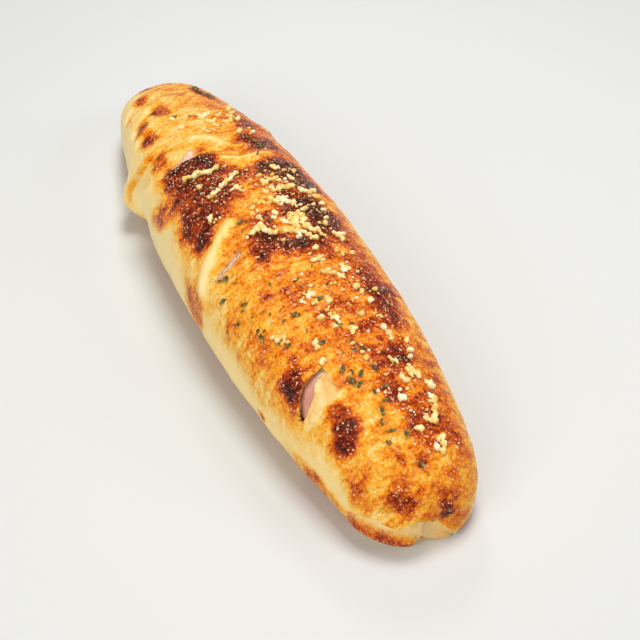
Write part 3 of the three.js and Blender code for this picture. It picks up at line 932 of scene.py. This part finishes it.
# %% Shine and bump of the crust
shine = node(tree, "MapRange", {
    "Value": tone, "From Min": 0.12, "From Max": 0.6, "To Min": 0.45, "To Max": 0.14})
pimples = node(tree, "TexNoise", {
    "Vector": place, "Scale": 1 / PIMPLE_SIZE, "Detail": 1.0, "Roughness": 0.5})
domes = node(tree, "Math", {
    0: pebbles, 1: -0.25, 2: pimples}, operation="MULTIPLY_ADD")
height = node(tree, "Math", {0: domes, 1: unevenness}, operation="MULTIPLY")
bump = node(tree, "Bump", {"Height": height, "Strength": 1.0, "Distance": BUMP_DEPTH})
shader = node(tree, "BsdfPrincipled", {
    "Base Color": skin_or_crumb,
    "Roughness": shine,
    "IOR": 1.45,
    "Specular IOR Level": 0.2,
    "Subsurface Weight": 0.1,
    "Subsurface Radius": (0.003, 0.0015, 0.0007),
    "Subsurface Scale": 1.0,
    "Normal": bump,
})
finish_material(crust, dough, shader)

# %% [markdown]
# ## Cooked ham
# Cooked ham is pink, wet and fibrous, with paler fat. Its fibres run along the slice, so the pattern is
# a noise stretched along the loaf.

# %% Ham material
FIBRE_SIZE = 0.0016
FAT_SIZE = 0.006

# Cooked ham: moist pink meat with a soft gloss
ham_meat, tree = new_material("cooked_ham")
place = node(tree, "TexCoord").outputs["Object"]
stretched = node(tree, "Mapping", {"Vector": place, "Scale": (0.3, 1.0, 1.0)})
fibres = node(tree, "TexNoise", {
    "Vector": stretched, "Scale": 1 / FIBRE_SIZE, "Detail": 3.0, "Roughness": 0.6})
fat = node(tree, "TexNoise", {"Vector": place, "Scale": 1 / FAT_SIZE, "Detail": 2.0})
meat = node(tree, "ValToRGB", {"Fac": fibres}, stops=[
    (0.3, "#e09a8e"), (0.5, "#f0bcae"), (0.72, "#fad8ca")])
fat_here = node(tree, "MapRange", {
    "Value": fat, "From Min": 0.55, "From Max": 0.7, "To Min": 0.0, "To Max": 0.6})
marbled = node(tree, "Mix", {
    "Factor": fat_here, "A": meat, "B": colour("#f6d3c4")}, data_type="RGBA")
dried_in = node(tree, "Attribute", attribute_name="dried").outputs["Fac"]
dried_share = node(tree, "Math", {0: dried_in, 1: fibres}, operation="MULTIPLY")
toasted = node(tree, "Mix", {
    "Factor": dried_share, "A": marbled, "B": colour("#a84a1c")}, data_type="RGBA")
bump = node(tree, "Bump", {"Height": fibres, "Strength": 0.3, "Distance": 0.0005})
shader = node(tree, "BsdfPrincipled", {
    "Base Color": toasted,
    "Roughness": 0.38,
    "IOR": 1.4,
    "Subsurface Weight": 0.15,
    "Subsurface Radius": (0.004, 0.0015, 0.001),
    "Subsurface Scale": 1.0,
    "Normal": bump,
})
finish_material(ham, ham_meat, shader)

# %% [markdown]
# ## Grated cheese
# Hard cheese is grated in short shreds that melt a little and keep a lumpy, rounded form, with loose
# crumbs between them. Metaballs would melt together too, but a voxel remesh of overlapping balls gives
# the same form and a plain mesh. So each shred is a row of balls along its path, each lump a cluster of
# eight, each loose crumb two or three, and one remesh melts them together.

# %% Dice that the solids use too
class Dice:
    """Repeatable random numbers from 0 to 1."""

    def __init__(self, seed):
        self.state = seed

    def __call__(self):
        self.state = (self.state * 1664525 + 1013904223) % 2 ** 32
        return self.state / 2 ** 32


bpy.context.view_layer.update()
SEAT_START = 12.0
SEAT_LIMIT = 1.5


def seat(along, angle):
    """The crust's surface over a place on the loaf and its normal, or None deep in a slash."""
    smooth = skin(along, angle)
    way = outward(angle)
    start = Vector((smooth + SEAT_START * way) * MM)
    hit, spot, normal, _ = crust.ray_cast(start, Vector(-way), distance=3 * SEAT_START * MM)
    spot = np.array(spot) / MM
    if not hit or np.dot(smooth - spot, way) > SEAT_LIMIT:
        return None
    return spot, np.array(normal)


# %% Places of the cheese
STRAND_RADIUS = 0.9
STRANDS = [
    [(-20, 40), (-19, 30), (-18.5, 20)],
    [(-5, 33), (-6.5, 27), (-9, 18), (-13.5, 5)],
    [(6.5, 7), (8.5, -3), (9, -13), (12.5, -20)],
    [(22, 25), (21, 15), (26.5, 9)],
    [(26, -18), (28, -22), (30.5, -25)],
    [(29, -35), (33, -38)],
    [(47, -6), (49, -12), (51.5, -21)],
    [(54.5, 17), (55, 10)],
    [(101.5, -36), (108.5, -28)],
]
LUMPS = [
    (-3.6, 10), (5.7, 38), (41.7, -11), (58.6, 2), (67.5, 6),
    (72, 28), (66, 44), (82.5, 2), (91.5, -30), (97.5, -12),
]
LUMP_SIZE = 1.9
# A zone is a span along, a span of angles and a count, and here a size
CRUMB_ZONES = [
    ((-68, -42), (-38, 4), 5, 1.3),
    ((-13, 5), (-42, -5), 7, 1.4),
    ((17, 27), (-18, -1), 9, 1.8),
    ((39, 65), (-34, 20), 6, 1.3),
    ((66, 88), (-42, 20), 4, 1.3),
    ((89, 116), (-42, -12), 5, 1.4),
]
CRUMB_SPREAD = (0.75, 1.25)
CRUMB_SEED = 7
# Loose crumbs too small for the solids
LOOSE_ZONES = [
    ((-70, -40), (-40, 4), 12),
    ((-22, -4), (0, 36), 10),
    ((-14, 6), (-45, 0), 26),
    ((6, 32), (-45, 14), 60),
    ((34, 70), (-40, 20), 26),
    ((70, 116), (-42, 8), 28),
]
LOOSE_SIZE = (0.42, 1.05)
LOOSE_CRUMBS = [
    (-12.5, 34), (15, -1), (19.7, -3), (19.7, -10), (18.8, -16), (24, -2), (27, -4), (22, -18),
    (24.5, -33), (7, -42), (4, -38), (-3, -10), (0.8, -13), (2, -18), (2.3, -6), (-67, -37), (-58.7, -32),
    (-43.8, -25), (-62.5, -10), (56, -24), (58.6, -26), (67.7, -16), (74, -26), (76, -27), (63, -28),
    (62, 49), (82.9, -38), (86, -34), (94, -21), (92, -18), (100.7, -37), (96.9, -39), (115, -20),
    (116, -25), (-60, -3), (-61, -6), (-61.3, -9), (-62, -12), (-62.5, -15), (-55, -12), (-54.6, -9),
    (-54.8, -6), (-70.5, -41), (-63.5, -38), (-56, -34), (-53.5, -26), (-59, -28), (-42.4, -24),
    (78.2, 29.5), (79, 31), (-66, 23), (-57, 19), (-49.8, 3), (-70, -6), (-62, -33), (-58, -37),
    (-66, -36),
]
# Draws that each grain of the solids takes, so that both agree on the places
GRAIN_DRAWS = 13


def zone_places(along_span, angle_span, count, spread, roll):
    """Places and sizes of the grains that the solids have in a zone."""
    made = []
    for i in range(count):
        along = within(along_span, (i + roll()) / count)
        angle = within(angle_span, roll())
        size = within(spread, roll())
        for _ in range(GRAIN_DRAWS):
            roll()
        made.append((along, angle, size))
    return made


roll = Dice(CRUMB_SEED)
for _ in range(GRAIN_DRAWS * len(LUMPS)):
    roll()
crumb_places = [(along, angle, LUMP_SIZE) for along, angle in LUMPS]
for *zone, zone_size in CRUMB_ZONES:
    for along, angle, size in zone_places(*zone, CRUMB_SPREAD, roll):
        crumb_places.append((along, angle, zone_size * size))
print("cheese crumbs:", len(crumb_places))


# %% Balls of cheese, melted together
def joined(name, model_points, model_faces, copies):
    """One mesh of many copies of a model, each with its own turn, size and place in millimetres."""
    count = len(model_points)
    points = np.concatenate([model_points @ turn.T + spot for turn, spot in copies]) * MM
    faces = np.concatenate([model_faces + i * count for i in range(len(copies))])
    mesh = bpy.data.meshes.new(name)
    mesh.from_pydata(points.tolist(), [], faces.tolist())
    piece = bpy.data.objects.new(name, mesh)
    bpy.context.scene.collection.objects.link(piece)
    return piece


def taken(piece):
    """Points and faces of a model, which is then removed."""
    points = points_of(piece) * MM
    faces = np.array([list(face.vertices) for face in piece.data.polygons])
    bpy.data.objects.remove(piece)
    return points, faces


def round_model(subdivisions):
    """Points and triangles of a small ball."""
    bpy.ops.object.select_all(action="DESELECT")
    bpy.ops.mesh.primitive_ico_sphere_add(subdivisions=subdivisions, radius=1)
    return taken(bpy.context.object)


def shade_smooth(piece):
    """Shades all of a piece's faces smooth."""
    piece.data.polygons.foreach_set("use_smooth", np.ones(len(piece.data.polygons), bool))


BALL_STRETCH = (0.85, 0.3)
BALL_LIFT = (0.2, 0.9)
shred_dice = Dice(101)
blobs = []


def uneven_ball(radius, least_more, dice):
    """The stretch of a ball that is a little uneven."""
    return np.diag(radius * np.array([grown(least_more, dice()) for _ in range(3)]))


def add_blob(along, angle, radius, lift):
    """One ball of cheese, seated on the crust and raised by a share of its radius."""
    found = seat(along, angle)
    if found is None:
        return
    spot, normal = found
    blobs.append((uneven_ball(radius, BALL_STRETCH, shred_dice), spot + normal * lift * radius))


def stray(reach):
    """A random step of up to half a reach to either side."""
    return reach * (shred_dice() - 0.5)


# %% Strew and melt the cheese
# A stray is along in millimetres and round in degrees. A thickness is the least, and a random part more.
STRAND_STEPS = 40
STRAND_GAP = 0.42
STRAND_STRAY = (1.5, 3.2)
STRAND_THICK = (0.5, 0.75)
LUMP_BALLS = 8
LUMP_STRAY = (2.0, 3.8)
LUMP_THICK = (0.24, 0.24)
PAIR_LIFT = 0.4
PAIR_STRAY = 0.8
PAIR_TURN = 2
PAIR_SIZE = 0.7
LOOSE_BALLS = 3
LOOSE_STRAY = (1.2, 2.4)
LOOSE_THICK = (0.55, 0.45)
LOOSE_LIFT = 0.5
CHEESE_VOXEL = 0.22
CHEESE_ROUGH = 0.16
CHEESE_ROUGH_MM = 0.9

for path in STRANDS:
    places = smooth_path(path, STRAND_STEPS)
    line = skin(places[:, 0], places[:, 1])
    steps = np.concatenate([[0], np.cumsum(np.linalg.norm(np.diff(line, axis=0), axis=1))])
    for far in np.arange(0, steps[-1] + 0.01, STRAND_GAP):
        along = np.interp(far, steps, places[:, 0]) + stray(STRAND_STRAY[0])
        angle = np.interp(far, steps, places[:, 1]) + stray(STRAND_STRAY[1])
        radius = STRAND_RADIUS * grown(STRAND_THICK, shred_dice() ** 2)
        add_blob(along, angle, radius, grown(BALL_LIFT, shred_dice()))
for along, angle, size in crumb_places:
    for _ in range(LUMP_BALLS):
        along_off = stray(LUMP_STRAY[0] * size)
        angle_off = stray(LUMP_STRAY[1] * size)
        radius = size * grown(LUMP_THICK, shred_dice())
        add_blob(along + along_off, angle + angle_off, radius, grown(BALL_LIFT, shred_dice()))
for along_span, angle_span, count in LOOSE_ZONES:
    for _ in range(count):
        along, angle = within(along_span, shred_dice()), within(angle_span, shred_dice())
        size = within(LOOSE_SIZE, shred_dice() ** 2)
        add_blob(along, angle, size, PAIR_LIFT)
        add_blob(along + stray(PAIR_STRAY * size), angle + PAIR_TURN * size, PAIR_SIZE * size, LOOSE_LIFT)
for along, angle in LOOSE_CRUMBS:
    for _ in range(LOOSE_BALLS):
        along_off = stray(LOOSE_STRAY[0])
        angle_off = stray(LOOSE_STRAY[1])
        radius = grown(LOOSE_THICK, shred_dice())
        add_blob(along + along_off, angle + angle_off, radius, LOOSE_LIFT)
cheese = joined("grated_cheese", *round_model(2), blobs)
apply_modifier(cheese, "REMESH", mode="VOXEL", voxel_size=CHEESE_VOXEL * MM)
apply_modifier(cheese, "SMOOTH", factor=0.3, iterations=1)
cheese_points = points_of(cheese)
cheese_rise = CHEESE_ROUGH * rough(cheese_points, CHEESE_ROUGH_MM, 41)
place_points(cheese, cheese_points + normals_of(cheese) * cheese_rise[:, None])
shade_smooth(cheese)
print("cheese faces:", len(cheese.data.polygons))

# %% Cheese material
MELT_SIZE = 0.0018
BATCH_SIZE = 0.006

# Hard grated cheese, half melted: pale yellow, waxy, a little see-through
waxy, tree = new_material("grated_hard_cheese")
place = node(tree, "TexCoord").outputs["Object"]
melt = node(tree, "TexNoise", {"Vector": place, "Scale": 1 / MELT_SIZE, "Detail": 3.0})
batch = node(tree, "TexNoise", {"Vector": place, "Scale": 1 / BATCH_SIZE, "Detail": 1.0})
paleness = node(tree, "MapRange", {
    "Value": batch, "From Min": 0.35, "From Max": 0.65, "To Min": -0.18, "To Max": 0.08})
ripe = node(tree, "Math", {0: melt, 1: paleness}, operation="ADD")
butter = node(tree, "ValToRGB", {"Fac": ripe}, stops=[
    (0.3, "#eec05c"), (0.48, "#fadf9c"), (0.66, "#fff4d6")])
bump = node(tree, "Bump", {"Height": melt, "Strength": 0.3, "Distance": 0.0004})
shader = node(tree, "BsdfPrincipled", {
    "Base Color": butter,
    "Roughness": 0.4,
    "IOR": 1.45,
    "Subsurface Weight": 0.25,
    "Subsurface Radius": (0.003, 0.002, 0.001),
    "Subsurface Scale": 1.0,
    "Normal": bump,
})
finish_material(cheese, waxy, shader)

# %% [markdown]
# ## Fine crumbs
# Between the shreds lies cheese as fine as sand. Each grain is a ball of twenty faces, because there are
# hundreds, and they are one mesh.

# %% Scatter the fine crumbs
DUST_ZONES = [
    ((-75, -40), (-45, 20), 90),
    ((-32, -8), (-35, 50), 170),
    ((-10, 34), (-48, 45), 230),
    ((34, 70), (-48, 45), 230),
    ((70, 122), (-48, 45), 230),
]
DUST_SIZE = (0.12, 0.38)
DUST_STRETCH = (0.7, 0.6)
DUST_LIFT = 0.3
dust_dice = Dice(202)
grains = []
for along_span, angle_span, count in DUST_ZONES:
    for _ in range(count):
        found = seat(within(along_span, dust_dice()), within(angle_span, dust_dice()))
        size = within(DUST_SIZE, dust_dice() ** 3)
        if found is None:
            continue
        spot, normal = found
        grains.append((uneven_ball(size, DUST_STRETCH, dust_dice), spot + normal * DUST_LIFT * size))
dust = joined("fine_cheese_crumbs", *round_model(1), grains)
shade_smooth(dust)
dust.data.materials.append(waxy)
print("fine crumbs:", len(grains))

# %% [markdown]
# ## Dried herbs
# Dried herb is a leaf torn to flakes: thin, curled, with a ragged outline. A flake is a small grid that is
# trimmed to a leaf shape, curled, and given its thickness with Solidify. Three such flakes are modelled,
# and each is copied many times with another turn and size.

# %% Model the flakes
FLAKE_WIDE = 0.6
FLAKE_TAPER = 0.6
FLAKE_TIP = 0.2
FLAKE_RAGGED = 0.5
FLAKE_CURL = (0.25, 0.2)
FLAKE_CUP = 0.3
FLAKE_TWIST = 0.3
FLAKE_UNEVEN = 0.12
FLAKE_THICK = 0.12


def flake_model(seed):
    """Points and faces of one curled flake, about one unit long."""
    dice = Dice(seed)
    bpy.ops.object.select_all(action="DESELECT")
    bpy.ops.mesh.primitive_grid_add(x_subdivisions=5, y_subdivisions=3, size=2)
    piece = bpy.context.object
    points = points_of(piece) * MM
    points[:, 1] *= FLAKE_WIDE * np.sqrt(np.maximum(FLAKE_TIP, 1 - FLAKE_TAPER * points[:, 0] ** 2))
    points[:, :2] += FLAKE_RAGGED * np.array([[dice() - 0.5, dice() - 0.5] for _ in points])
    curl = FLAKE_CURL[0] * (dice() + FLAKE_CURL[1])
    long, broad = points[:, 0], points[:, 1]
    points[:, 2] = FLAKE_CUP * broad ** 2 + curl * long ** 2 + FLAKE_TWIST * long * broad
    points[:, 2] += FLAKE_UNEVEN * np.array([dice() - 0.5 for _ in points])
    piece.data.vertices.foreach_set("co", points.ravel())
    apply_modifier(piece, "SOLIDIFY", thickness=FLAKE_THICK, offset=0)
    return taken(piece)


# %% Places of the herbs
HERBS = [
    (30, 57), (36, 49), (46.5, 55), (51, 52), (52.7, 45), (54.6, 42), (46, 72), (56.7, 54), (58.4, 51),
    (47.6, 15), (50.5, 14), (52.5, -5), (43.8, -2), (37, -12), (18, 27), (15, 20), (13.5, 25), (66.8, 28),
    (65.4, 48), (67.7, 44), (68, 54), (73, 24), (69.8, -5), (58.8, 14), (57, 7), (59.7, 29), (76.4, 3),
    (79.5, 5), (84, 22), (88.4, 20), (79, 15), (87.4, 11), (87, -2), (94, 9), (97.5, 4), (106.6, 14),
    (103.5, 17), (-68, 19), (-64, 6), (-38, -26), (-33.5, -30), (-33.7, -14), (-33, 14), (-20, 17),
    (-15, -22), (117.5, 3),
]
BIG_HERBS = [
    (109, 3), (-96, -32), (-92, -33), (-88, -36), (-85, -37), (-38, -27), (-35, -29), (-31, -31),
    (-20, 17),
]
HERB_ZONES = [
    ((30, 60), (42, 72), 5),
    ((13, 75), (-12, 40), 5),
    ((76, 110), (-4, 22), 6),
    ((-92, -15), (-32, 18), 4),
]
HERB_SPREAD = (0.8, 1.3)
HERB_SEED = 23
HERB_SIZE = 1.1
BIG_HERB = 1.6
herb_dice = Dice(303)
herb_places = [(along, angle, 1.0) for along, angle in HERBS]
herb_places += [(along, angle, BIG_HERB) for along, angle in BIG_HERBS]
roll = Dice(HERB_SEED)
for zone in HERB_ZONES:
    herb_places += zone_places(*zone, HERB_SPREAD, roll)


def lying(normal, spin):
    """A turn that lays a model on a surface, spun round its normal."""
    side = np.cross(normal, [math.cos(spin), math.sin(spin), 0.3])
    side /= np.linalg.norm(side)
    return np.stack([side, np.cross(normal, side), normal], axis=1)


# %% Lay the flakes
FLAKE_SEEDS = (51, 52, 53)
FLAKE_LONG = (0.5, 0.9)
FLAKE_BROAD = (0.6, 0.6)
FLAKE_LIFT = 0.25

flakes = [[] for _ in FLAKE_SEEDS]
for i, (along, angle, size) in enumerate(herb_places):
    found = seat(along, angle)
    if found is None:
        continue
    turn = lying(found[1], 2 * math.pi * herb_dice())
    long = HERB_SIZE * size * grown(FLAKE_LONG, herb_dice() ** 2)
    shape = np.diag([long, long * grown(FLAKE_BROAD, herb_dice()), long])
    flakes[i % len(flakes)].append((turn @ shape, found[0] + found[1] * FLAKE_LIFT))
herb_parts = []
for i, seed in enumerate(FLAKE_SEEDS):
    herb_parts.append(joined(f"herb_{i}", *flake_model(seed), flakes[i]))
bpy.ops.object.select_all(action="DESELECT")
for part in herb_parts:
    part.select_set(True)
bpy.context.view_layer.objects.active = herb_parts[0]
bpy.ops.object.join()
herbs = bpy.context.object
herbs.name = "dried_herb_flakes"
print("herb flakes:", sum(len(copies) for copies in flakes))

# %% Herb material
VEIN_SIZE = 0.0009

# Dried herb: dull grey green, darker where it is scorched
leaf, tree = new_material("dried_herb")
place = node(tree, "TexCoord").outputs["Object"]
veins = node(tree, "TexNoise", {"Vector": place, "Scale": 1 / VEIN_SIZE, "Detail": 2.0})
green = node(tree, "ValToRGB", {"Fac": veins}, stops=[
    (0.3, "#33280c"), (0.5, "#685826"), (0.7, "#aa9a5c")])
shader = node(tree, "BsdfPrincipled", {
    "Base Color": green,
    "Roughness": 0.65,
    "IOR": 1.4,
})
finish_material(herbs, leaf, shader)

# %% [markdown]
# ## Join the frame
# Every piece rides on the part's one body. The crust and what lies on it stand for the dough's solid, and
# the ham for the filling's.

# %% Ride and replace
for piece in (crust, cheese, dust, herbs):
    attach(piece, "root")
    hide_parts("dough_crust")
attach(ham, "root")
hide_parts("ham_filling")

# %% List the pieces
print("pieces:", [piece.name for piece in (crust, ham, cheese, dust, herbs)])
